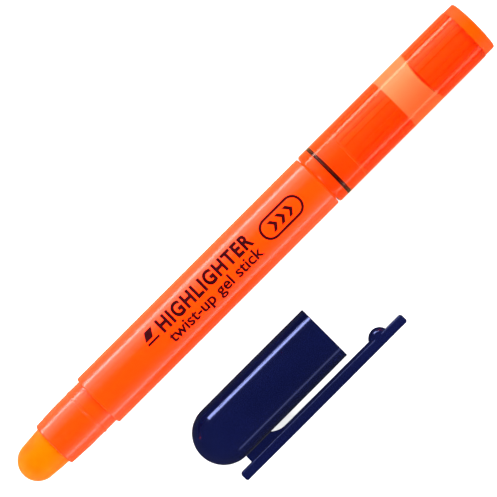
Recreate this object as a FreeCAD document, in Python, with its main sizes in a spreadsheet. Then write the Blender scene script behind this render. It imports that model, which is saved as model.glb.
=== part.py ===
import FreeCAD, Part

import os
import re

import Sketcher

# Twist-up gel highlighter, lying on a table with its cap beside it.
#
# Frame: X runs along the pen, with the gel tip at -X and the knob at +X. +Z is up. The origin
# is on the table, under the middle of the box round the pen and the cap together.
# The pen lies on the +Y side. The cap lies parallel to it on the -Y side, its round end
# towards -X and its clip outwards, towards -Y.
#
# Turning the knob turns the drive spindle. The stick carrier rides on the spindle's thread and
# is keyed to ribs in the barrel, so it slides without turning and pushes the gel stick out.


# ---------------------------------------------------------------- driving dimensions (mm)

SIZES = {
    # pen, along its axis, from the tip to the rear
    "gel_reach": 8.5,          # gel that stands out of the nozzle as the pen lies here
    "nozzle_reach": 12.35,     # nozzle in front of the barrel
    "barrel_length": 61.4,
    "knob_gap": 0.25,          # running gap between barrel and knob
    "knob_length": 40.75,
    "plug_head": 2.5,          # edge height of the plug's head behind the knob
    "plug_rise": 0.35,         # crown of that head
    # girth of the pen, from the gel stick outwards
    "gel_radius": 4.45,
    "nozzle_wall": 0.7,
    "shoulder_step": 0.175,    # nozzle's shoulder, over the barrel's bore
    "barrel_wall": 0.85,
    "knob_flush": 0.095,       # knob stands proud of the barrel
    # barrel
    "edge_break": 0.2,         # small edge chamfers
    "rib_count": 4,            # ribs in the bore that key the carrier
    "rib_width": 1.2,
    # nozzle sleeve
    "mouth_draft": 0.22,       # nozzle mouth below the nozzle's own radius
    "mouth_taper": 4.8,        # length over which the mouth tapers
    "bead_setback": 3.1,       # snap bead, in front of the barrel's shoulder
    "bead_height": 0.1,
    "bead_width": 0.9,
    "spigot_length": 16.0,     # nozzle sleeve inside the barrel
    # gel stick
    "gel_taper": 0.35,         # round nose below the stick's own radius
    "tip_recess": 1.1,         # how far the tip hides in the nozzle when it is wound in
    # stick carrier
    "cup_depth": 5.0,
    "cup_wall": 0.4,
    "cup_floor": 1.5,
    "carrier_wall": 1.1,
    "rim_stop": 1.0,           # cup rim to nozzle mouth when it is wound right out
    "head_length": 6.0,        # threaded and keyed head
    # drive spindle
    "core_radius": 1.55,
    "thread_depth": 0.6,
    "thread_crest": 0.9,
    "thread_root": 1.5,
    "thread_lead": 4.0,
    "spindle_gap": 0.5,        # spindle nose to cup floor when it is wound in
    "journal_step": 0.15,      # journal over the thread's crest
    "barb_height": 0.3,
    "barb_length": 1.0,
    "end_gap": 0.4,            # carrier head to barb when it is wound in
    "tail_step": 0.1,          # corners of the hexagonal tail below the journal
    # rear bushing
    "bush_depth": 4.0,         # length pressed into the barrel
    "bush_reach": 7.5,         # length inside the knob
    "bush_wall": 0.9,          # hub and rim, either side of the relief
    "ring_setback": 2.7,       # friction ring, behind the knob's front edge
    "ring_section": 0.4,       # section radius of the friction ring
    "ring_play": 0.1,          # friction ring to the knob's bore
    # knob and what is pressed into it
    "knob_wall": 0.97,
    "knob_round": 0.45,
    "sleeve_length": 13.3,
    "sleeve_web": 4.5,         # thick front end of the drive sleeve
    "sleeve_wall": 1.0,
    "spline_count": 24,
    "spline_width": 0.55,
    "spline_height": 0.3,
    "plug_depth": 13.35,       # plug inside the knob, to the top of its nose
    "plug_nose": 1.0,          # rise of its domed nose
    "plug_step": 0.12,         # plug head below the knob's surface
    "plug_round": 0.5,
    # cap and clip
    "cap_offset": 22.1,        # cap axis to pen axis, sideways
    "cap_park": 41.2,          # cap mouth behind the barrel's front shoulder
    "cap_length": 34.5,
    "cap_wall": 0.93,
    "cap_play": 0.1,           # cap bore to nozzle
    "snap_play": 0.08,         # groove in the cap to the nozzle's bead
    "clip_gap": 1.62,          # cap to the bar of the clip
    "clip_thick": 2.02,
    "clip_width": 4.4,
    "clip_start": 3.0,         # clip's tail, behind the top of the cap's round end
    "clip_length": 44.65,
    "clip_round": 0.5,         # corners of the bar, seen from above
    "bar_round": 0.4,          # edges along the bar
    "spine_height": 0.45,      # stiffening spine along the inside of the bar
    "spine_width": 2.6,
    "web_start": 6.25,
    "web_length": 6.8,         # along the cap's surface
    "web_flare": 3.05,         # run of the concave flare between web and bar
    "ball_setback": 6.35,      # ball centre to the free end
    "ball_radius": 2.3,
    "ball_inset": 2.2,         # ball centre below the cap's outer surface line
    # shared fits
    "turn_play": 0.15,         # between pieces that turn or slide on each other
    "thread_play": 0.2,
}

doc = FreeCAD.newDocument("twist_highlighter")
sheet = doc.addObject("Spreadsheet::Sheet", "Sizes")
for row, (alias, size) in enumerate(SIZES.items(), start=1):
    sheet.set("A%d" % row, alias)
    sheet.set("B%d" % row, str(size))
    sheet.setAlias("B%d" % row, alias)
doc.recompute()


def bound(text):
    """The expression with each size named as a cell of the sheet."""
    return re.sub(r"\b[a-z]+(?:_[a-z]+)+\b", lambda word: "Sizes." + word.group(), text)


def value(text):
    """The expression's value in millimetres."""
    return float(sheet.evalExpression(bound(text)))


# ---------------------------------------------------------------- derived places and radii

pen_length = ("(gel_reach + nozzle_reach + barrel_length + knob_gap + knob_length"
              " + plug_head + plug_rise)")

# stations along X
tip_x = f"(-{pen_length} / 2)"
mouth_x = f"({tip_x} + gel_reach)"
shoulder_x = f"({mouth_x} + nozzle_reach)"
barrel_end = f"({shoulder_x} + barrel_length)"
knob_x = f"({barrel_end} + knob_gap)"
knob_end = f"({knob_x} + knob_length)"
bush_x = f"({barrel_end} - bush_depth)"
sleeve_x = f"({knob_x} + bush_reach + knob_gap)"
nose_x = f"({knob_end} - plug_depth)"

# strokes of the gel stick, from where it stands here
retract_stroke = "(gel_reach + tip_recess)"
carrier_room = (f"({bush_x} - turn_play - barb_length - end_gap - {mouth_x} - rim_stop"
                " - cup_depth - cup_floor - spindle_gap - head_length)")
extend_stroke = f"({carrier_room} / 2 - {retract_stroke})"

rim_x = f"({mouth_x} + rim_stop + {extend_stroke})"
spindle_x = f"({rim_x} + cup_depth + cup_floor + {retract_stroke} + spindle_gap)"
head_x = f"({spindle_x} + {extend_stroke})"

# radii of the pen
nozzle_bore = "(gel_radius + turn_play)"
nozzle_radius = f"({nozzle_bore} + nozzle_wall)"
mouth_radius = f"({nozzle_radius} - mouth_draft)"
gel_nose = "(gel_radius - gel_taper)"
barrel_bore = f"({nozzle_radius} - shoulder_step)"
barrel_radius = f"({barrel_bore} + barrel_wall)"
head_radius = f"({barrel_bore} - turn_play)"
tube_radius = "(gel_radius - turn_play)"
cup_bore = f"({tube_radius} - cup_wall)"
cavity_radius = f"({tube_radius} - carrier_wall)"
crest_radius = "(core_radius + thread_depth)"
nut_minor = "(core_radius + thread_play)"
journal_radius = f"({crest_radius} + journal_step)"
tail_radius = f"({journal_radius} - tail_step)"
bush_bore = f"({journal_radius} + turn_play)"
knob_radius = f"({barrel_radius} + knob_flush)"
knob_bore = f"({knob_radius} - knob_wall)"
bush_radius = f"({knob_bore} - turn_play)"
groove_floor = f"({knob_bore} - ring_play - 2 * ring_section)"
insert_radius = f"({knob_bore} - spline_height)"
plug_radius = f"({knob_radius} - plug_step)"

# cap and clip, the clip's distances measured outwards from the cap's axis
cap_bore = f"({nozzle_radius} + cap_play)"
cap_radius = f"({cap_bore} + cap_wall)"
bar_inner = f"({cap_radius} + clip_gap)"
bar_outer = f"({bar_inner} + clip_thick)"
spine_inner = f"({bar_inner} - spine_height)"

# where the pen and the cap lie
pen_y = f"((cap_offset + {bar_outer} - {knob_radius}) / 2)"
pen_z = knob_radius
cap_x = f"({shoulder_x} + cap_park - cap_length)"
cap_y = f"({pen_y} - cap_offset)"
cap_z = cap_radius


# ---------------------------------------------------------------- modelling helpers

def new_body(name, x, y, z):
    """A body whose own X axis is the pen's or the cap's axis, placed at x, y, z."""
    body = doc.addObject("PartDesign::Body", name)
    body.Label = name
    for axis, place in zip("xyz", (x, y, z)):
        body.setExpression(".Placement.Base." + axis, bound(place))
    return body


def pen_body(name, x):
    return new_body(name, x, pen_y, pen_z)


def origin_item(body, role):
    return next(item for item in body.Origin.OriginFeatures if item.Role == role)


def new_sketch(body, name, plane):
    sketch = body.newObject("Sketcher::SketchObject", name)
    sketch.AttachmentSupport = (origin_item(body, plane), [""])
    sketch.MapMode = "FlatFace"
    return sketch


def pin(sketch, kind, line, end, text):
    """Holds one coordinate of a line's end at an expression's value."""
    if text == "0":
        axis = -2 if kind == "DistanceX" else -1
        sketch.addConstraint(Sketcher.Constraint("PointOnObject", line, end, axis))
        return
    index = sketch.addConstraint(Sketcher.Constraint(kind, -1, 1, line, end, value(text)))
    sketch.setExpression("Constraints[%d]" % index, bound(text))


def outline(sketch, corners):
    """A closed outline through corners (x, y) or (x, y, radius, turn).

    A corner with a radius starts an arc to the next one, turning left (+1) or right (-1).
    """
    places = [FreeCAD.Vector(value(corner[0]), value(corner[1]), 0) for corner in corners]
    count = len(corners)
    ends = []
    for index, corner in enumerate(corners):
        here, there = places[index], places[(index + 1) % count]
        if len(corner) == 2:
            edge = sketch.addGeometry(Part.LineSegment(here, there))
            ends.append((edge, 1, 2))
            continue
        radius, turn = value(corner[2]), corner[3]
        half = (there - here) / 2
        side = FreeCAD.Vector(-half.y, half.x, 0).normalize() * turn
        middle = here + half + side * max(radius ** 2 - half.Length ** 2, 0) ** 0.5
        bulge = middle - side * radius
        edge = sketch.addGeometry(Part.Arc(here, bulge, there))
        ends.append((edge, 1, 2) if turn > 0 else (edge, 2, 1))
        wanted = sketch.addConstraint(Sketcher.Constraint("Radius", edge, radius))
        sketch.setExpression("Constraints[%d]" % wanted, bound(corner[2]))
    for index, (edge, start, finish) in enumerate(ends):
        follower, follower_start, _ = ends[(index + 1) % count]
        sketch.addConstraint(
            Sketcher.Constraint("Coincident", edge, finish, follower, follower_start))
        pin(sketch, "DistanceX", edge, start, corners[index][0])
        pin(sketch, "DistanceY", edge, start, corners[index][1])
    return sketch


def finish_feature(feature, sketch=None):
    """Builds a feature and stops if it left its base as it was."""
    if sketch:
        sketch.Visibility = False
    doc.recompute()
    base = feature.BaseFeature
    if base and abs(feature.Shape.Volume - base.Shape.Volume) < 1e-4:
        raise RuntimeError("%s changed nothing" % feature.Name)
    return feature


def revolve(body, name, corners, kind="PartDesign::Revolution"):
    """Turns an outline (x, radius) about the body's X axis."""
    sketch = outline(new_sketch(body, name + "_profile", "XY_Plane"), corners)
    turned = body.newObject(kind, name)
    turned.Profile = (sketch, [""])
    turned.ReferenceAxis = (sketch, ["H_Axis"])
    turned.Angle = 360
    return finish_feature(turned, sketch)


def extrude_along_x(body, name, corners, start, length, kind="PartDesign::Pad"):
    """Extrudes an outline (y, z) from station start by length, along the body's X axis."""
    sketch = outline(new_sketch(body, name + "_profile", "YZ_Plane"), corners)
    sketch.setExpression(".AttachmentOffset.Base.z", bound(start))
    block = body.newObject(kind, name)
    block.Profile = (sketch, [""])
    block.Reversed = kind == "PartDesign::Pocket"
    block.setExpression("Length", bound(length))
    return finish_feature(block, sketch)


def extrude_across(body, name, corners, width):
    """Extrudes an outline (x, y) evenly to both sides of the body's XY plane."""
    sketch = outline(new_sketch(body, name + "_profile", "XY_Plane"), corners)
    plate = body.newObject("PartDesign::Pad", name)
    plate.Profile = (sketch, [""])
    plate.SideType = "Symmetric"
    plate.setExpression("Length", bound(width))
    return finish_feature(plate, sketch)


def round_sides(body, name, width, radius):
    """Rounds the edges of the last feature that lie in its two side planes."""
    base = body.Tip
    side = value(width) / 2

    def in_side_plane(edge):
        heights = [vertex.Z for vertex in edge.Vertexes]
        return all(abs(abs(height) - side) < 1e-6 for height in heights) \
            and min(heights) * max(heights) > 0

    edges = ["Edge%d" % number for number, edge in enumerate(base.Shape.Edges, start=1)
             if in_side_plane(edge)]
    rounding = body.newObject("PartDesign::Fillet", name)
    rounding.Base = (base, edges)
    rounding.setExpression("Radius", bound(radius))
    return finish_feature(rounding)


def repeat_around(body, name, feature, count):
    """Repeats a feature around the body's X axis."""
    pattern = body.newObject("PartDesign::PolarPattern", name)
    pattern.Originals = [feature]
    pattern.Axis = (origin_item(body, "X_Axis"), [""])
    pattern.Angle = 360
    pattern.setExpression("Occurrences", bound(count))
    body.Tip = pattern
    return finish_feature(pattern)


def bar_section(inner, outer, width):
    """A rectangle (y, z) that reaches from inner to outer along +Y."""
    half = f"({width}) / 2"
    return [(inner, f"-{half}"), (outer, f"-{half}"), (outer, half), (inner, half)]


def thread(body, name, kind, start, root, crest, root_width, crest_width, length):
    """A left-handed thread ridge or groove about the body's X axis, starting at start."""
    sketch = outline(new_sketch(body, name + "_profile", "XY_Plane"), [
        (start, root),
        (f"{start} + {root_width}", root),
        (f"{start} + ({root_width} + {crest_width}) / 2", crest),
        (f"{start} + ({root_width} - {crest_width}) / 2", crest),
    ])
    ridge = body.newObject(kind, name)
    ridge.Profile = (sketch, [""])
    ridge.ReferenceAxis = (sketch, ["H_Axis"])
    ridge.Mode = "pitch-height-angle"
    ridge.LeftHanded = True
    ridge.HasBeenEdited = True
    ridge.setExpression("Pitch", bound("thread_lead"))
    ridge.setExpression("Height", bound(length))
    return finish_feature(ridge, sketch)


# ---------------------------------------------------------------- fixed pieces of the pen

def make_barrel():
    body = pen_body("barrel", shoulder_x)
    revolve(body, "barrel_tube", [
        ("0", barrel_bore),
        ("barrel_length", barrel_bore),
        ("barrel_length", f"{barrel_radius} - edge_break"),
        ("barrel_length - edge_break", barrel_radius),
        ("edge_break", barrel_radius),
        ("0", f"{barrel_radius} - edge_break"),
    ])
    rib = extrude_along_x(
        body, "barrel_rib",
        bar_section(nozzle_bore, f"{barrel_bore} + barrel_wall / 2", "rib_width"),
        "spigot_length", "barrel_length - bush_depth - spigot_length")
    repeat_around(body, "barrel_ribs", rib, "rib_count")


def make_nozzle_sleeve():
    body = pen_body("nozzle_sleeve", mouth_x)
    end = "(nozzle_reach + spigot_length)"
    bead = "(nozzle_reach - bead_setback)"
    revolve(body, "nozzle_tube", [
        ("0", nozzle_bore),
        (end, nozzle_bore),
        (end, f"{barrel_bore} - edge_break"),
        (f"{end} - edge_break", barrel_bore),
        ("nozzle_reach", barrel_bore),
        ("nozzle_reach", nozzle_radius),
        (f"{bead} + bead_width / 2", nozzle_radius),
        (f"{bead} + bead_width / 6", f"{nozzle_radius} + bead_height"),
        (f"{bead} - bead_width / 6", f"{nozzle_radius} + bead_height"),
        (f"{bead} - bead_width / 2", nozzle_radius),
        ("mouth_taper", nozzle_radius),
        ("edge_break", mouth_radius),
        ("0", f"{mouth_radius} - edge_break"),
    ])


def make_rear_bushing():
    body = pen_body("rear_bushing", bush_x)
    end = "(bush_depth + knob_gap + bush_reach)"
    ring = "(bush_depth + knob_gap + ring_setback)"
    half = "(ring_section + turn_play / 2)"
    hub = f"({bush_bore} + bush_wall)"
    rim = f"({barrel_bore} - bush_wall)"
    revolve(body, "bushing_turned", [
        ("0", bush_bore),
        (end, bush_bore),
        (end, f"{bush_radius} - edge_break"),
        (f"{end} - edge_break", bush_radius),
        (f"{ring} + {half}", bush_radius),
        (f"{ring} + {half}", groove_floor),
        (f"{ring} - {half}", groove_floor),
        (f"{ring} - {half}", bush_radius),
        ("bush_depth", bush_radius),
        ("bush_depth", barrel_bore),
        ("edge_break", barrel_bore),
        ("0", f"{barrel_bore} - edge_break"),
    ])
    revolve(body, "bushing_relief", [
        ("0", hub),
        ("bush_depth - bush_wall", hub),
        ("bush_depth - bush_wall", rim),
        ("0", rim),
    ], "PartDesign::Groove")


def make_friction_ring():
    ring = doc.addObject("Part::Torus", "friction_ring")
    ring.Label = "friction_ring"
    ring.setExpression("Radius2", bound("ring_section"))
    ring.setExpression("Radius1", bound(f"{groove_floor} + ring_section"))
    ring.Placement.Rotation = FreeCAD.Rotation(FreeCAD.Vector(0, 1, 0), 90)
    ring.setExpression(".Placement.Base.x", bound(f"{knob_x} + ring_setback"))
    ring.setExpression(".Placement.Base.y", bound(pen_y))
    ring.setExpression(".Placement.Base.z", bound(pen_z))


# ---------------------------------------------------------------- gel stick and its carrier

def make_gel_stick():
    body = pen_body("gel_stick", tip_x)
    rim = f"({rim_x} - {tip_x})"
    revolve(body, "gel_turned", [
        ("0", "0", gel_nose, -1),
        (gel_nose, gel_nose),
        ("gel_reach", "gel_radius"),
        (rim, "gel_radius"),
        (rim, cup_bore),
        (f"{rim} + cup_depth", cup_bore),
        (f"{rim} + cup_depth", "0"),
    ])


def make_stick_carrier():
    body = pen_body("stick_carrier", rim_x)
    cavity = "(cup_depth + cup_floor)"
    head = f"({head_x} - {rim_x})"
    end = f"({head} + head_length)"
    revolve(body, "carrier_turned", [
        ("cup_depth", "0"),
        ("cup_depth", cup_bore),
        ("0", cup_bore),
        ("0", tube_radius),
        (head, tube_radius),
        (head, f"{head_radius} - edge_break"),
        (f"{head} + edge_break", head_radius),
        (end, head_radius),
        (end, nut_minor),
        (head, nut_minor),
        (head, cavity_radius),
        (cavity, cavity_radius),
        (cavity, "0"),
    ])
    slot = extrude_along_x(
        body, "key_slot",
        bar_section(f"{nozzle_bore} - turn_play", barrel_bore, "rib_width + 2 * turn_play"),
        head, "head_length", "PartDesign::Pocket")
    repeat_around(body, "key_slots", slot, "rib_count")

    # The groove starts a whole number of leads behind the spindle's ridge, so they mesh.
    leads = f"(floor({extend_stroke} / thread_lead) - 1)"
    start = f"({spindle_x} - {rim_x} + {leads} * thread_lead)"
    thread(body, "nut_thread", "PartDesign::SubtractiveHelix", start,
           f"{nut_minor} - thread_play", f"{crest_radius} + thread_play",
           "(thread_root + 2 * thread_play)", "(thread_crest + 2 * thread_play)",
           "head_length + 3 * thread_lead")


# ---------------------------------------------------------------- pieces that turn

def make_drive_spindle():
    body = pen_body("drive_spindle", spindle_x)
    threaded = f"({extend_stroke} + head_length + {retract_stroke})"
    journal = f"({bush_x} - {spindle_x})"
    barb = f"({journal} - turn_play - barb_length)"
    tail = f"({sleeve_x} - {spindle_x})"
    revolve(body, "spindle_turned", [
        ("0", "0"),
        ("0", "core_radius - edge_break"),
        ("edge_break", "core_radius"),
        (barb, "core_radius"),
        (barb, journal_radius),
        (f"{barb} + barb_length - edge_break", f"{journal_radius} + barb_height"),
        (f"{barb} + barb_length", f"{journal_radius} + barb_height"),
        (f"{barb} + barb_length", journal_radius),
        (tail, journal_radius),
        (tail, "0"),
    ])
    extrude_along_x(body, "hex_tail", hexagon(tail_radius), tail, "sleeve_web")
    thread(body, "spindle_thread", "PartDesign::AdditiveHelix", "thread_play",
           "core_radius - thread_play", crest_radius, "thread_root", "thread_crest",
           f"{threaded} - thread_root - 2 * thread_play")


def hexagon(radius):
    """A hexagon (y, z) with its corners at this radius."""
    return [(radius, "0"),
            (f"{radius} / 2", f"{radius} * sqrt(3) / 2"),
            (f"-{radius} / 2", f"{radius} * sqrt(3) / 2"),
            (f"-{radius}", "0"),
            (f"-{radius} / 2", f"-{radius} * sqrt(3) / 2"),
            (f"{radius} / 2", f"-{radius} * sqrt(3) / 2")]


def add_splines(body, name, start, length):
    """Press-fit ribs round an insert, their edges on the knob's bore."""
    top = f"sqrt(({knob_bore}) ^ 2 - (spline_width / 2) ^ 2)"
    rib = extrude_along_x(
        body, name, bar_section(f"{insert_radius} - spline_height", top, "spline_width"),
        start, length)
    repeat_around(body, name + "_set", rib, "spline_count")


def make_drive_sleeve():
    body = pen_body("drive_sleeve", sleeve_x)
    inner = f"({insert_radius} - sleeve_wall)"
    revolve(body, "sleeve_turned", [
        ("0", "0"),
        ("0", insert_radius),
        ("sleeve_length", insert_radius),
        ("sleeve_length", inner),
        ("sleeve_web", inner),
        ("sleeve_web", "0"),
    ])
    extrude_along_x(body, "hex_socket", hexagon(tail_radius), "0", "sleeve_web",
                    "PartDesign::Pocket")
    add_splines(body, "sleeve_spline", "edge_break", "sleeve_length - edge_break")


def make_rear_knob():
    body = pen_body("rear_knob", knob_x)
    revolve(body, "knob_tube", [
        ("0", knob_bore),
        ("knob_length", knob_bore),
        ("knob_length", f"{knob_radius} - edge_break / 2"),
        ("knob_length - edge_break / 2", knob_radius),
        ("knob_round", knob_radius, "knob_round", 1),
        ("0", f"{knob_radius} - knob_round"),
    ])


def make_knob_end_plug():
    body = pen_body("knob_end_plug", nose_x)
    end = "(plug_depth + plug_head)"
    crown = f"({plug_radius} - plug_round)"
    revolve(body, "plug_turned", [
        ("0", "0", f"({insert_radius} ^ 2 + plug_nose ^ 2) / (2 * plug_nose)", -1),
        ("plug_nose", insert_radius),
        ("plug_depth", insert_radius),
        ("plug_depth", plug_radius),
        (f"{end} - plug_round", plug_radius, "plug_round", -1),
        (end, crown, f"({crown} ^ 2 + plug_rise ^ 2) / (2 * plug_rise)", -1),
        (f"{end} + plug_rise", "0"),
    ])
    add_splines(body, "plug_spline", "plug_nose", "plug_depth - plug_nose")


# ---------------------------------------------------------------- cap and clip

def make_cap_shell():
    body = new_body("cap_shell", cap_x, cap_y, cap_z)
    groove = "(cap_length - bead_setback)"
    groove_radius = f"({nozzle_radius} + bead_height + snap_play)"
    revolve(body, "cap_turned", [
        ("0", "0", cap_radius, -1),
        (cap_radius, cap_radius),
        ("cap_length - edge_break / 2", cap_radius),
        ("cap_length", f"{cap_radius} - edge_break / 2"),
        ("cap_length", f"{cap_bore} + edge_break"),
        ("cap_length - edge_break", cap_bore),
        (f"{groove} + bead_width", cap_bore),
        (f"{groove} + bead_width / 2", groove_radius),
        (f"{groove} - bead_width / 2", groove_radius),
        (f"{groove} - bead_width", cap_bore),
        (cap_radius, cap_bore, cap_bore, 1),
        ("cap_wall", "0"),
    ])


def make_cap_clip():
    body = new_body("cap_clip", cap_x, cap_y, cap_z)
    # The body is turned half round, so its own +Y points outwards from the cap, to the clip.
    body.Placement.Rotation = FreeCAD.Rotation(FreeCAD.Vector(1, 0, 0), 180)
    free_end = "(clip_start + clip_length)"
    ball_x = f"({free_end} - ball_setback)"
    corner = "clip_round"
    extrude_across(body, "clip_bar", [
        (f"clip_start + {corner}", bar_inner),
        (f"{free_end} - {corner}", bar_inner, corner, 1),
        (free_end, f"{bar_inner} + {corner}"),
        (free_end, f"{bar_outer} - {corner}", corner, 1),
        (f"{free_end} - {corner}", bar_outer),
        (f"clip_start + {corner}", bar_outer, corner, 1),
        ("clip_start", f"{bar_outer} - {corner}"),
        ("clip_start", f"{bar_inner} + {corner}", corner, 1),
    ], "clip_width")
    round_sides(body, "clip_bar_edges", "clip_width", "bar_round")

    # Web and spine in one: the web flares into the spine, which runs on to the ball.
    web_end = "(web_start + web_length)"
    rise = "(clip_gap - spine_height)"
    flare = f"((web_flare ^ 2 + {rise} ^ 2) / (2 * {rise}))"
    inside = f"({cap_radius} - clip_gap / 2)"
    extrude_across(body, "clip_web", [
        ("web_start", inside),
        (web_end, inside),
        (web_end, cap_radius, flare, -1),
        (f"{web_end} + web_flare", spine_inner),
        (ball_x, spine_inner),
        (ball_x, f"{bar_inner} + clip_thick / 2"),
        ("web_start", f"{bar_inner} + clip_thick / 2"),
    ], "spine_width")
    revolve(body, "web_saddle", [
        ("clip_start", "0"),
        ("cap_length", "0"),
        ("cap_length", f"{cap_radius} + turn_play"),
        ("clip_start", f"{cap_radius} + turn_play"),
    ], "PartDesign::Groove")

    ball_height = f"({cap_radius} + ball_inset)"
    sketch = new_sketch(body, "clip_ball_profile", "XY_Plane")
    sketch.setExpression(".AttachmentOffset.Base.x", bound(ball_x))
    outline(sketch, [
        ("0", f"{ball_height} - ball_radius", "ball_radius", 1),
        ("ball_radius", ball_height),
        ("ball_radius", f"{bar_inner} + clip_thick / 2"),
        ("0", f"{bar_inner} + clip_thick / 2"),
    ])
    ball = body.newObject("PartDesign::Revolution", "clip_ball")
    ball.Profile = (sketch, [""])
    ball.ReferenceAxis = (sketch, ["V_Axis"])
    ball.Angle = 360
    finish_feature(ball, sketch)


# ---------------------------------------------------------------- build, check and write

PIECES = {
    "barrel": make_barrel,
    "nozzle_sleeve": make_nozzle_sleeve,
    "rear_bushing": make_rear_bushing,
    "friction_ring": make_friction_ring,
    "gel_stick": make_gel_stick,
    "stick_carrier": make_stick_carrier,
    "drive_spindle": make_drive_spindle,
    "drive_sleeve": make_drive_sleeve,
    "rear_knob": make_rear_knob,
    "knob_end_plug": make_knob_end_plug,
    "cap_shell": make_cap_shell,
    "cap_clip": make_cap_clip,
}

for make in PIECES.values():
    make()
doc.recompute()

for item in doc.Objects:
    if "Invalid" in item.State or "Error" in item.State:
        raise RuntimeError("%s failed: %s" % (item.Name, item.State))

shapes = {node: doc.getObjectsByLabel(node)[0].Shape for node in PIECES}
for node, shape in shapes.items():
    if shape.isNull() or not shape.isValid() or len(shape.Solids) != 1:
        raise RuntimeError("%s is not one valid solid" % node)

os.makedirs("parts", exist_ok=True)
for node, shape in shapes.items():
    shape.exportStep("parts/%s.step" % node)
    print("%-15s %9.2f mm3" % (node, shape.Volume))

for label, text in {
    "extend stroke": extend_stroke,
    "retract stroke": retract_stroke,
    "pen axis y": pen_y,
    "cap axis y": cap_y,
    "shoulder x": shoulder_x,
    "barrel end x": barrel_end,
    "cap top x": cap_x,
}.items():
    print("%-15s %9.3f mm" % (label, value(text)))
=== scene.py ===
import math

import bmesh
import bpy
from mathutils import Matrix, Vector


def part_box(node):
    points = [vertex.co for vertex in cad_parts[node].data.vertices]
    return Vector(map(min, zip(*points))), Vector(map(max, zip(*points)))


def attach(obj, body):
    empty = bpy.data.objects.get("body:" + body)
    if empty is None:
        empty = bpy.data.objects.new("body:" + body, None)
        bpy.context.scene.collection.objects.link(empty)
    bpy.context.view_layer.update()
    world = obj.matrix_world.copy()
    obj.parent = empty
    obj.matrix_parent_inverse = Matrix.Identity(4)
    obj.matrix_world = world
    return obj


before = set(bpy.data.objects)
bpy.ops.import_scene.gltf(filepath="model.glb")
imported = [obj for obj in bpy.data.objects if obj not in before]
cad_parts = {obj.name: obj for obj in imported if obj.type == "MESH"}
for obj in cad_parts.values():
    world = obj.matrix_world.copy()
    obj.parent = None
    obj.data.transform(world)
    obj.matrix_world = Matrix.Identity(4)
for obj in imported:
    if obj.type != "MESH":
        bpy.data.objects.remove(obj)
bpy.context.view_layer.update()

# Looks of the twist-up gel highlighter and its cap, lying side by side on a pale table.
# X runs along the pen, +Z is up. Lengths are metres.

MM = 0.001
scene = bpy.context.scene

barrel_low, barrel_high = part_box("barrel")
sleeve_low, sleeve_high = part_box("drive_sleeve")
PEN_RADIUS = (barrel_high.y - barrel_low.y) / 2
PEN_AXIS = Vector((0, (barrel_low.y + barrel_high.y) / 2, (barrel_low.z + barrel_high.z) / 2))
BARREL_FRONT = barrel_low.x
BARREL_REAR = barrel_high.x
BUSHING_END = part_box("rear_bushing")[1].x
SLEEVE_START = sleeve_low.x
SLEEVE_END = sleeve_high.x
PLUG_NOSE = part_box("knob_end_plug")[0].x
KNOB_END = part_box("rear_knob")[1].x

FADE = 0.1 * MM              # how softly one finish gives way to the next
BORE_RADIUS = (sleeve_high.y - sleeve_low.y) / 2 + FADE
PAINTED_GLOW_BOW = 1.1 * MM         # how far the rear edge of the knob's painted glow bows
PAINTED_GLOW_FADE = 0.5 * MM        # how softly that edge ends
SHARP_ANGLE = math.radians(32)

PEN_SKIN = ("barrel", "nozzle_sleeve", "rear_knob", "knob_end_plug")
CAP_SKIN = ("cap_shell", "cap_clip")
UNMIRRORED = ("barrel", "nozzle_sleeve", "cap_shell", "cap_clip")


# ---------------------------------------------------------------- material helpers

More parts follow.
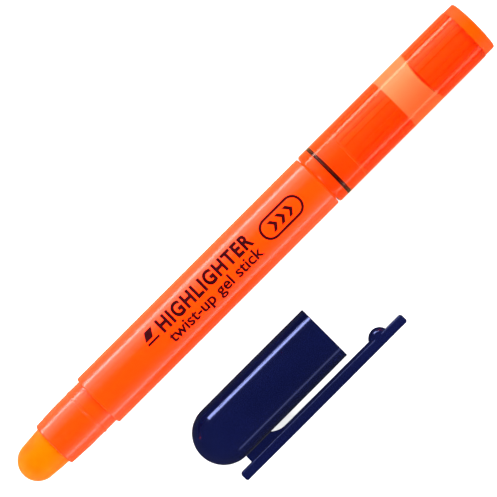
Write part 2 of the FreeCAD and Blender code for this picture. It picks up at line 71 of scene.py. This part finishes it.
class Shader:
    """A material's node tree, with its Principled shader and short ways to add nodes."""

    def __init__(self, name, **sockets):
        self.material = bpy.data.materials.new(name)
        self.material.use_nodes = True
        self.tree = self.material.node_tree
        self.principled = self.tree.nodes["Principled BSDF"]
        self.output = self.tree.nodes["Material Output"]
        for socket, number in sockets.items():
            self.principled.inputs[socket.replace("_", " ")].default_value = number
        self.place = self.tree.nodes.new("ShaderNodeTexCoord").outputs["Object"]

    def add(self, kind, **inputs):
        """A new node with the named inputs set."""
        node = self.tree.nodes.new(kind)
        for socket, number in inputs.items():
            node.inputs[socket.replace("_", " ")].default_value = number
        return node

    def link(self, source, target):
        self.tree.links.new(source, target)

    def stretched(self, x, y, z):
        """Object coordinates scaled by axis, for grain that runs one way."""
        mapping = self.add("ShaderNodeMapping", Scale=(x, y, z))
        self.link(self.place, mapping.inputs["Vector"])
        return mapping.outputs["Vector"]

    def noise(self, scale, detail=3.0, roughness=0.5, where=None):
        """Noise in object coordinates, or in the stretched ones given as where."""
        node = self.add("ShaderNodeTexNoise", Scale=scale, Detail=detail, Roughness=roughness)
        self.link(where or self.place, node.inputs["Vector"])
        return node.outputs["Fac"]

    def ramp(self, source, stops):
        """A colour ramp over a texture: stops are (position, grey or colour)."""
        node = self.add("ShaderNodeValToRGB")
        elements = node.color_ramp.elements
        while len(elements) < len(stops):
            elements.new(0.5)
        for element, (position, shade) in zip(elements, stops):
            element.position = position
            colour = shade if isinstance(shade, tuple) else (shade, shade, shade)
            element.color = (*colour, 1.0)
        self.link(source, node.inputs["Fac"])
        return node.outputs["Color"]

    def remap(self, source, low, high, at_low, at_high):
        """Turns source from low to high into at_low to at_high, and holds it beyond them."""
        node = self.add("ShaderNodeMapRange", From_Min=low, From_Max=high,
                        To_Min=at_low, To_Max=at_high)
        self.link(source, node.inputs["Value"])
        return node.outputs["Result"]

    def rises(self, source, start, run=FADE):
        """A mask that goes from 0 to 1 over a short run from start."""
        return self.remap(source, start, start + run, 0.0, 1.0)

    def falls(self, source, start, run=FADE):
        """A mask that goes from 1 to 0 over a short run from start."""
        return self.remap(source, start, start + run, 1.0, 0.0)

    def along(self, axis="X"):
        """Distance along one axis."""
        node = self.add("ShaderNodeSeparateXYZ")
        self.link(self.place, node.inputs["Vector"])
        return node.outputs[axis]

    def pen_radius(self):
        """Distance from the pen's axis."""
        across = self.add("ShaderNodeMapping", Location=(0, -PEN_AXIS.y, -PEN_AXIS.z), Scale=(0, 1, 1))
        self.link(self.place, across.inputs["Vector"])
        length = self.add("ShaderNodeVectorMath")
        length.operation = "LENGTH"
        self.link(across.outputs["Vector"], length.inputs[0])
        return length.outputs["Value"]

    def math(self, operation, first, second):
        """Two textures put through one operation, such as MULTIPLY."""
        node = self.tree.nodes.new("ShaderNodeMath")
        node.operation = operation
        self.link(first, node.inputs[0])
        self.link(second, node.inputs[1])
        return node.outputs["Value"]

    def blend(self, mask, source, colour):
        """Goes from source to a plain colour, or to another texture, where mask is 1."""
        node = self.add("ShaderNodeMix")
        node.data_type = "RGBA"
        self.link(mask, node.inputs["Factor"])
        self.link(source, node.inputs[6])
        if isinstance(colour, tuple):
            node.inputs[7].default_value = (*colour, 1.0)
        else:
            self.link(colour, node.inputs[7])
        return node.outputs[2]

    def colour(self, source, stops):
        """Colours the surface by a ramp over a texture."""
        self.link(self.ramp(source, stops), self.principled.inputs["Base Color"])

    def roughness(self, source, low, high):
        """Varies the gloss from low to high with a texture."""
        spread = self.ramp(source, [(0.3, low), (0.7, high)])
        self.link(spread, self.principled.inputs["Roughness"])

    def bump(self, *layers):
        """Stacks (height texture, strength, distance) layers into one normal."""
        normal = None
        for source, strength, distance in layers:
            node = self.add("ShaderNodeBump", Strength=strength, Distance=distance)
            self.link(source, node.inputs["Height"])
            if normal:
                self.link(normal, node.inputs["Normal"])
            normal = node.outputs["Normal"]
        self.link(normal, self.principled.inputs["Normal"])


# ---------------------------------------------------------------- materials

def orange_shell():
    """Translucent orange moulding with a soft gloss, for the barrel and nozzle."""
    shader = Shader("orange_shell", IOR=1.49, Subsurface_Weight=0.2,
                    Subsurface_Radius=(1.0, 0.35, 0.1), Subsurface_Scale=0.0015)
    flow = shader.noise(60, 2, where=shader.stretched(0.3, 1, 1))
    shader.colour(flow, [(0.3, (1.0, 0.027, 0.0)), (0.7, (1.0, 0.033, 0.0))])
    handling = shader.noise(900, 4, where=shader.stretched(0.15, 1, 1))
    shader.roughness(handling, 0.2, 0.25)
    shader.bump((handling, 0.02, 0.0001), (shader.noise(5000, 2), 0.02, 0.00002))
    return shader.material


def orange_clear():
    """Clear tinted moulding that shows the works inside, for the turning knob.

    The works fit its bore so closely that the bore's own surface hardly bends light. Between the
    drive sleeve and the end plug nothing touches the bore. There it shows frosted, with a painted pale
    glow that is lighter towards +Y and stands in for light seen through the air gap.
    """
    shader = Shader("orange_clear", Specular_Tint=(1.0, 0.5, 0.35, 1.0))
    flow = shader.noise(80, 2, where=shader.stretched(0.3, 1, 1))
    tint = shader.ramp(flow, [(0.3, (1.0, 0.78, 0.48)), (0.7, (1.0, 0.82, 0.52))])
    handling = shader.noise(900, 4, where=shader.stretched(0.15, 1, 1))
    shader.roughness(handling, 0.16, 0.22)
    shader.bump((handling, 0.02, 0.0001))
    dye = shader.add("ShaderNodeVolumeAbsorption", Color=(1.0, 0.75, 0.2, 1.0), Density=600.0)
    shader.link(dye.outputs["Volume"], shader.output.inputs["Volume"])

    radius = shader.pen_radius()
    bend = shader.remap(radius, BORE_RADIUS, BORE_RADIUS + 2 * FADE, 1.01, 1.49)
    shader.link(bend, shader.principled.inputs["IOR"])
    bore = shader.falls(radius, BORE_RADIUS, 2 * FADE)
    across = shader.remap(shader.along("Y"), PEN_AXIS.y - BORE_RADIUS, PEN_AXIS.y + BORE_RADIUS, -1, 1)
    painted_glow = shader.math("MULTIPLY", bore, painted_glow_stretch(shader, across))
    seam = shader.math("MULTIPLY", bore, seam_stretch(shader))
    towards_lit_side = shader.remap(across, -1, 1, 0, 1)
    # Painted glow: pale orange that stands in for light seen through the air gap, lighter towards +Y,
    # the lit side.
    painted_glow_colour = shader.ramp(towards_lit_side, [(0.15, (1.0, 0.27, 0.2)), (0.85, (1.0, 0.42, 0.52))])
    pale = shader.blend(painted_glow, tint, painted_glow_colour)
    # The gap is painted plain orange, which paints out the shade that falls into it.
    shader.link(shader.blend(seam, pale, (1.0, 0.12, 0.0)), shader.principled.inputs["Base Color"])
    clear = shader.remap(shader.math("MAXIMUM", painted_glow, seam), 0, 1, 1.0, 0.3)
    shader.link(clear, shader.principled.inputs["Transmission Weight"])
    return shader.material


def painted_glow_stretch(shader, across):
    """Mask of the painted glow, from the drive sleeve to the end plug, with its rear edge bowed."""
    bow = shader.remap(shader.math("MULTIPLY", across, across), 0, 1, 0, PAINTED_GLOW_BOW)
    bowed = shader.math("SUBTRACT", shader.along(), bow)
    before_plug = shader.falls(bowed, PLUG_NOSE + FADE, PAINTED_GLOW_FADE)
    return shader.math("MULTIPLY", shader.rises(shader.along(), SLEEVE_END), before_plug)


def seam_stretch(shader):
    """Mask of the fine gap from the bushing to the drive sleeve, where the shade in the gap is painted
    over in plain orange.
    """
    after_bushing = shader.rises(shader.along(), BUSHING_END - FADE)
    return shader.math("MULTIPLY", after_bushing, shader.falls(shader.along(), SLEEVE_START))


def orange_inner():
    """Satin orange moulding of the pieces inside the knob. Inside the knob it is painted lighter than
    the plug's head outside, to make up for light lost in the tinted knob.
    """
    shader = Shader("orange_inner", Specular_IOR_Level=0.05, Subsurface_Weight=0.2,
                    Subsurface_Radius=(1.0, 0.35, 0.1), Subsurface_Scale=0.001)
    flow = shader.noise(90, 2, where=shader.stretched(0.2, 1, 1))
    # Painted lighter than the head, to make up for the light the tinted knob takes away.
    inside = shader.ramp(flow, [(0.3, (1.0, 0.085, 0.0)), (0.7, (1.0, 0.1, 0.0))])
    head = shader.rises(shader.along(), KNOB_END - FADE)
    shader.link(shader.blend(head, inside, (1.0, 0.036, 0.0)), shader.principled.inputs["Base Color"])
    grain = shader.noise(1500, 3)
    shader.roughness(grain, 0.35, 0.5)
    shader.bump((grain, 0.05, 0.00005))
    return shader.material


def amber_gel():
    """Waxy translucent gel with faint streaks from rubbing on paper."""
    shader = Shader("amber_gel", Specular_IOR_Level=0.2, Subsurface_Weight=0.5,
                    Subsurface_Radius=(1.0, 0.5, 0.05), Subsurface_Scale=0.002,
                    Specular_Tint=(1.0, 0.7, 0.08, 1.0),
                    Sheen_Weight=0.1, Sheen_Roughness=0.3, Sheen_Tint=(0.8, 1.0, 0.03, 1.0))
    clouds = shader.noise(250, 4)
    shader.colour(clouds, [(0.3, (1.0, 0.075, 0.0)), (0.7, (1.0, 0.095, 0.0))])
    smear = shader.noise(600, 5, 0.6, shader.stretched(1, 0.25, 1))
    shader.roughness(smear, 0.3, 0.5)
    shader.bump((smear, 0.1, 0.0001), (shader.noise(4000, 2), 0.05, 0.00003))
    return shader.material


def navy_plastic():
    """Glossy dark blue moulding with hairline handling marks."""
    shader = Shader("navy_plastic", Specular_IOR_Level=1.0, Specular_Tint=(0.34, 0.42, 1.0, 1.0))
    flow = shader.noise(70, 3, where=shader.stretched(0.4, 1, 1))
    shader.colour(flow, [(0.3, (0.001, 0.0017, 0.0135)), (0.7, (0.002, 0.003, 0.0225))])
    hairlines = shader.noise(700, 6, 0.7, shader.stretched(0.1, 1, 1))
    shader.roughness(hairlines, 0.09, 0.16)
    shader.bump((hairlines, 0.015, 0.00008), (shader.noise(6000, 2), 0.01, 0.00002))
    return shader.material


def dark_rubber():
    """Soft dark ring with a fine moulded grain."""
    shader = Shader("dark_rubber", Specular_IOR_Level=0.1)
    grain = shader.noise(2500, 4)
    shader.colour(grain, [(0.3, (0.04, 0.0004, 0.0)), (0.7, (0.055, 0.0006, 0.0))])
    shader.roughness(grain, 0.5, 0.7)
    shader.bump((grain, 0.15, 0.00004))
    return shader.material


def natural_plastic():
    """Unpigmented plastic of the screw and the carrier."""
    shader = Shader("natural_plastic", Subsurface_Weight=0.2,
                    Subsurface_Radius=(1.0, 0.9, 0.7), Subsurface_Scale=0.001)
    flow = shader.noise(120, 3)
    shader.colour(flow, [(0.3, (0.78, 0.74, 0.66)), (0.7, (0.86, 0.83, 0.76))])
    grain = shader.noise(1800, 3)
    shader.roughness(grain, 0.35, 0.5)
    shader.bump((grain, 0.06, 0.00004))
    return shader.material


def dark_ink():
    """Screen-printed ink: slightly uneven, and satin."""
    shader = Shader("dark_ink", Specular_IOR_Level=0.1)
    mottle = shader.noise(3000, 4)
    shader.colour(mottle, [(0.35, (0.014, 0.0, 0.001)), (0.75, (0.024, 0.001, 0.002))])
    shader.roughness(mottle, 0.35, 0.55)
    shader.bump((mottle, 0.1, 0.00001))
    return shader.material


def pale_floor():
    """Matt white table top."""
    shader = Shader("pale_floor", Specular_IOR_Level=0.1)
    mottle = shader.noise(30, 4)
    shader.colour(mottle, [(0.3, 0.9), (0.7, 0.92)])
    shader.roughness(mottle, 0.8, 0.9)
    shader.bump((shader.noise(1500, 3), 0.04, 0.00005))
    return shader.material


def pale_wall():
    """A white studio wall that glows evenly, as if lit from outside the scene."""
    shader = Shader("pale_wall", Specular_IOR_Level=0.1, Emission_Strength=0.9,
                    Emission_Color=(1.0, 1.0, 1.0, 1.0))
    mottle = shader.noise(3, 3)
    shader.colour(mottle, [(0.3, 0.85), (0.7, 0.9)])
    shader.roughness(mottle, 0.8, 0.9)
    return shader.material


NODE_MATERIALS = {
    orange_shell: ["barrel", "nozzle_sleeve"],
    orange_clear: ["rear_knob"],
    orange_inner: ["rear_bushing", "drive_sleeve", "knob_end_plug"],
    amber_gel: ["gel_stick"],
    natural_plastic: ["stick_carrier", "drive_spindle"],
    dark_rubber: ["friction_ring"],
    navy_plastic: ["cap_shell", "cap_clip"],
}


def dress_nodes():
    """Gives each CAD node its finish and smooth shading between its real edges."""
    for make, names in NODE_MATERIALS.items():
        material = make()
        for name in names:
            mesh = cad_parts[name].data
            mesh.materials.clear()
            mesh.materials.append(material)
            mesh.shade_smooth()
            mesh.set_sharp_from_angle(angle=SHARP_ANGLE)
    for name in UNMIRRORED:
        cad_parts[name].visible_glossy = False


# ---------------------------------------------------------------- print on the barrel

INK_HEIGHT = 0.015 * MM      # thickness of the ink
INK_SINK = 0.01 * MM         # its underside lies just inside the barrel's surface
INK_FACET = 0.3 * MM         # widest flat of ink round the barrel
INK_WELD = 0.002 * MM        # points of the lettering closer than this are one
CUT_REACH = 1e-7             # a cut uses a point this near instead of making another
CAPITAL_SHARE = 0.69         # a capital's height, as a share of the font's size

ICON_X = BARREL_FRONT + 14.9 * MM
TEXT_X = BARREL_FRONT + 18.9 * MM
BADGE_X = BARREL_REAR - 10.3 * MM
TEXT_LENGTH = 25.0 * MM
LINE_ONE = 1.75 * MM         # the two lines' middles, round the barrel from its top
LINE_TWO = -1.95 * MM
INK = dark_ink()


def flat_text(words, height, weight, spacing=1.0):
    """A flat mesh of generic lettering with capitals this high and strokes thickened by weight."""
    curve = bpy.data.curves.new("lettering", "FONT")
    curve.body = words
    curve.size = height / CAPITAL_SHARE
    curve.offset = weight
    curve.space_character = spacing
    curve.fill_mode = "FRONT"
    curve.dimensions = "2D"
    maker = bpy.data.objects.new("lettering", curve)
    scene.collection.objects.link(maker)
    bpy.context.view_layer.update()
    mesh = bpy.data.meshes.new_from_object(maker.evaluated_get(bpy.context.evaluated_depsgraph_get()))
    bpy.data.objects.remove(maker)
    return mesh


def wrap_print(name, mesh, start, across, length=None):
    """Turns a flat mesh into a thin closed print that follows the barrel.

    The mesh's x runs along the pen from start, and its y goes round it, centred at across,
    measured from the top of the barrel. A length stretches it to fit.
    """
    work = bmesh.new()
    work.from_mesh(mesh)
    bmesh.ops.remove_doubles(work, verts=work.verts, dist=INK_WELD)
    xs = [vert.co.x for vert in work.verts]
    ys = [vert.co.y for vert in work.verts]
    stretch = length / (max(xs) - min(xs)) if length else 1.0
    middle = (max(ys) + min(ys)) / 2
    for vert in work.verts:
        vert.co.x = (vert.co.x - min(xs)) * stretch + start
        vert.co.y += across - middle
    cut = min(vert.co.y for vert in work.verts) + INK_FACET
    top = max(vert.co.y for vert in work.verts)
    while cut < top:
        bmesh.ops.bisect_plane(work, geom=work.verts[:] + work.edges[:] + work.faces[:],
                               plane_co=(0, cut, 0), plane_no=(0, 1, 0), dist=CUT_REACH)
        cut += INK_FACET
    for vert in work.verts:
        vert.co.z = 0
    skin = bmesh.ops.extrude_face_region(work, geom=work.faces[:])
    for item in skin["geom"]:
        if isinstance(item, bmesh.types.BMVert):
            item.co.z = 1
    for vert in work.verts:
        angle = vert.co.y / PEN_RADIUS
        radius = PEN_RADIUS + (INK_HEIGHT if vert.co.z > 0.5 else -INK_SINK)
        vert.co.y = PEN_AXIS.y + radius * math.sin(angle)
        vert.co.z = PEN_AXIS.z + radius * math.cos(angle)
    bmesh.ops.recalc_face_normals(work, faces=work.faces[:])
    wrapped = bpy.data.meshes.new(name)
    work.to_mesh(wrapped)
    work.free()
    return add_piece(name, wrapped, "barrel", INK)


def add_piece(name, mesh, body, material):
    """Adds a visual piece that moves with a body."""
    piece = bpy.data.objects.new(name, mesh)
    scene.collection.objects.link(piece)
    mesh.materials.clear()
    mesh.materials.append(material)
    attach(piece, body)
    return piece


def ring_outline(points_out, points_in):
    """A flat ribbon between two closed outlines of the same count."""
    mesh = bpy.data.meshes.new("ribbon")
    count = len(points_out)
    faces = [(i, (i + 1) % count, count + (i + 1) % count, count + i) for i in range(count)]
    mesh.from_pydata([(x, y, 0) for x, y in points_out + points_in], [], faces)
    return mesh


def rounded_box(width, height, radius, steps=10):
    """Points of a box with round corners, centred on the origin."""
    points = []
    for corner, (sx, sy) in enumerate([(1, 1), (-1, 1), (-1, -1), (1, -1)]):
        for step in range(steps + 1):
            angle = math.radians(90) * (corner + step / steps)
            points.append((sx * (width / 2 - radius) + radius * math.cos(angle),
                           sy * (height / 2 - radius) + radius * math.sin(angle)))
    return points


def print_badge():
    """A plain round-cornered frame with a row of three chevrons in it."""
    line = 0.55 * MM
    width, height, corner = 10.6 * MM, 4.8 * MM, 2.35 * MM
    frame_mesh = ring_outline(rounded_box(width, height, corner),
                              rounded_box(width - 2 * line, height - 2 * line, corner - line))
    wrap_print("print_badge_frame", frame_mesh, BADGE_X - width / 2, 0)

    reach, spread, bar, pitch = 1.8 * MM, 1.2 * MM, 0.85 * MM, 2.1 * MM
    chevrons = bpy.data.meshes.new("chevrons")
    points, faces = [], []
    for shift in (-pitch, 0, pitch):
        first = len(points)
        points += [(shift - reach / 2, spread, 0), (shift - reach / 2 + bar, spread, 0),
                   (shift + reach / 2, 0, 0), (shift - reach / 2 + bar, -spread, 0),
                   (shift - reach / 2, -spread, 0), (shift + reach / 2 - bar, 0, 0)]
        faces += [(first, first + 5, first + 2, first + 1),
                  (first + 5, first + 4, first + 3, first + 2)]
    chevrons.from_pydata(points, [], faces)
    wrap_print("print_badge_arrows", chevrons, BADGE_X - pitch - reach / 2, 0)


def print_stroke_icon():
    """A plain slanted marker stroke over a short line."""
    mesh = bpy.data.meshes.new("stroke")
    wide, tall, slant = 3.0 * MM, 1.9 * MM, 1.1 * MM
    line_top = -tall / 2 - 0.45 * MM
    line_bottom = line_top - 0.5 * MM
    points = [(0, -tall / 2, 0), (wide - slant, -tall / 2, 0), (wide, tall / 2, 0), (slant, tall / 2, 0),
              (0, line_bottom, 0), (wide, line_bottom, 0), (wide, line_top, 0), (0, line_top, 0)]
    mesh.from_pydata(points, [], [(0, 1, 2, 3), (4, 5, 6, 7)])
    wrap_print("print_icon", mesh, ICON_X, LINE_ONE)


def print_on_barrel():
    print_stroke_icon()
    title = flat_text("HIGHLIGHTER", height=3.0 * MM, weight=0.18 * MM, spacing=1.16)
    wrap_print("print_title", title, TEXT_X, LINE_ONE, TEXT_LENGTH)
    subtitle = flat_text("twist-up gel stick", height=2.4 * MM, weight=0.08 * MM)
    wrap_print("print_subtitle", subtitle, TEXT_X, LINE_TWO, TEXT_LENGTH)
    print_badge()


# ---------------------------------------------------------------- table, light and camera

def make_floor():
    """The table, just below the lowest point of the pen and the cap."""
    mesh = bpy.data.meshes.new("floor")
    reach, drop = 3.0, 0.05 * MM
    mesh.from_pydata([(-reach, -reach, 0), (reach, -reach, 0), (reach, reach, 0), (-reach, reach, 0)],
                     [], [(0, 1, 2, 3)])
    floor = bpy.data.objects.new("floor", mesh)
    floor.location.z = -drop
    mesh.materials.append(pale_floor())
    scene.collection.objects.link(floor)
    floor.visible_glossy = False


def make_wall():
    """A round wall behind the table on every side, so that low views look at white."""
    reach, bottom, top, segments = 2.9, -0.01, 2.1, 64
    turns = [2 * math.pi * step / segments for step in range(segments)]
    ring = [(reach * math.cos(turn), reach * math.sin(turn)) for turn in turns]
    points = [(x, y, bottom) for x, y in ring] + [(x, y, top) for x, y in ring]
    faces = [(step, (step + 1) % segments, segments + (step + 1) % segments, segments + step)
             for step in range(segments)]
    mesh = bpy.data.meshes.new("wall")
    mesh.from_pydata(points, [], faces)
    mesh.materials.append(pale_wall())
    wall = bpy.data.objects.new("wall", mesh)
    scene.collection.objects.link(wall)
    wall.visible_glossy = False
    wall.visible_transmission = False


def area_light(name, place, aim, width, height, power, gloss=False):
    """A softbox out of the camera's sight. It gives either soft light or, with gloss, a shine."""
    light = bpy.data.lights.new(name, "AREA")
    light.shape = "RECTANGLE"
    light.size, light.size_y = width, height
    light.energy = power
    lamp = bpy.data.objects.new(name, light)
    lamp.location = place
    lamp.rotation_euler = (Vector(aim) - Vector(place)).to_track_quat("-Z", "Y").to_euler()
    lamp.visible_camera = False
    lamp.visible_glossy = gloss
    lamp.visible_diffuse = not gloss
    scene.collection.objects.link(lamp)
    return lamp


def table_card(name, y_low, y_high, radiance):
    """A card flat on the table along the pen, seen in its gloss as the table beside it would be."""
    length, width, lift = 140 * MM, y_high - y_low, 0.1 * MM
    middle = (0, (y_low + y_high) / 2, lift)
    power = math.pi * radiance * length * width
    card = area_light(name, middle, (0, middle[1], 1.0), length, width, power, gloss=True)
    card.rotation_euler = (math.pi, 0, 0)
    card.data.color = (1.0, 0.75, 0.3)
    shine_only_on(card, PEN_SKIN)


def shine_only_on(lamp, nodes):
    """Limits a lamp to some CAD nodes."""
    group = bpy.data.collections.new(lamp.name)
    for node in nodes:
        group.objects.link(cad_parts[node])
    lamp.light_linking.receiver_collection = group


def light_softly():
    """Broad lights at both ends and on the left, which reach the gap between cap and clip."""
    centre = (0, 0, 0)
    area_light("soft_front", (-0.9, 0, 0.9), centre, 0.35, 1.0, 31)
    area_light("soft_rear", (0.9, 0, 0.9), centre, 0.35, 1.0, 31)
    area_light("soft_left", (0, 0.9, 0.75), centre, 1.6, 0.7, 14)


def shine_on_pen():
    """Long low strips on either side for the pen's gloss lines."""
    length, aim = 1.6, (0, 0, 0.01)
    for name, side, z, height, power in (("pen_strip_left", 0.6, 0.05, 0.10, 6.5),
                                         ("pen_glow_left", 0.6, 0.25, 0.20, 1.6),
                                         ("pen_strip_right", -0.6, 0.05, 0.10, 2.4),
                                         ("pen_glow_right", -0.6, 0.20, 0.12, 0.3)):
        lamp = area_light(name, (0, side, z), aim, length, height, power, gloss=True)
        shine_only_on(lamp, PEN_SKIN)


def shine_on_cap():
    """Two strips for the cap's gloss lines, short enough to end where its round end begins."""
    middle, length = 0.215, 0.57
    for name, side, height, power in (("cap_strip_left", 0.6, 0.14, 3.1),
                                      ("cap_strip_right", -0.6, 0.08, 0.16)):
        place, aim = (middle, side, height / 2), (middle, 0, 0.01)
        lamp = area_light(name, place, aim, length, height, power, gloss=True)
        shine_only_on(lamp, CAP_SKIN)


def lay_cards():
    """A card on the table at each side of the pen, for the pale edges that a white table gives."""
    table_card("card_left", PEN_AXIS.y + 6.56 * MM, 60 * MM, 0.8)
    table_card("card_right", -30 * MM, PEN_AXIS.y - 6.04 * MM, 0.5)


def make_world():
    """A very weak white surrounding, because a bright one puts a haze on the gloss."""
    world = bpy.data.worlds.new("studio")
    world.use_nodes = True
    scene.world = world
    background = world.node_tree.nodes["Background"]
    background.inputs["Color"].default_value = (1.0, 1.0, 1.0, 1.0)
    background.inputs["Strength"].default_value = 0.05


def make_camera():
    """Straight down, turned so that the pen runs up to the right at 45 degrees."""
    view_width = 98.16 * MM
    distance = 0.8
    sensor = 36
    off_centre_x, off_centre_y = 0.05 * MM, 0.23 * MM
    camera = bpy.data.objects.new("camera", bpy.data.cameras.new("camera"))
    camera.data.sensor_width = sensor
    camera.data.lens = sensor * (distance - PEN_AXIS.z) / view_width
    camera.data.clip_end = 20
    camera.location = (off_centre_x, PEN_AXIS.y + off_centre_y, distance)
    camera.rotation_euler = (0, 0, math.radians(-45))
    scene.collection.objects.link(camera)
    scene.camera = camera


dress_nodes()
print_on_barrel()
make_floor()
make_wall()
light_softly()
shine_on_pen()
shine_on_cap()
lay_cards()
make_world()
make_camera()
scene.view_settings.view_transform = "Standard"
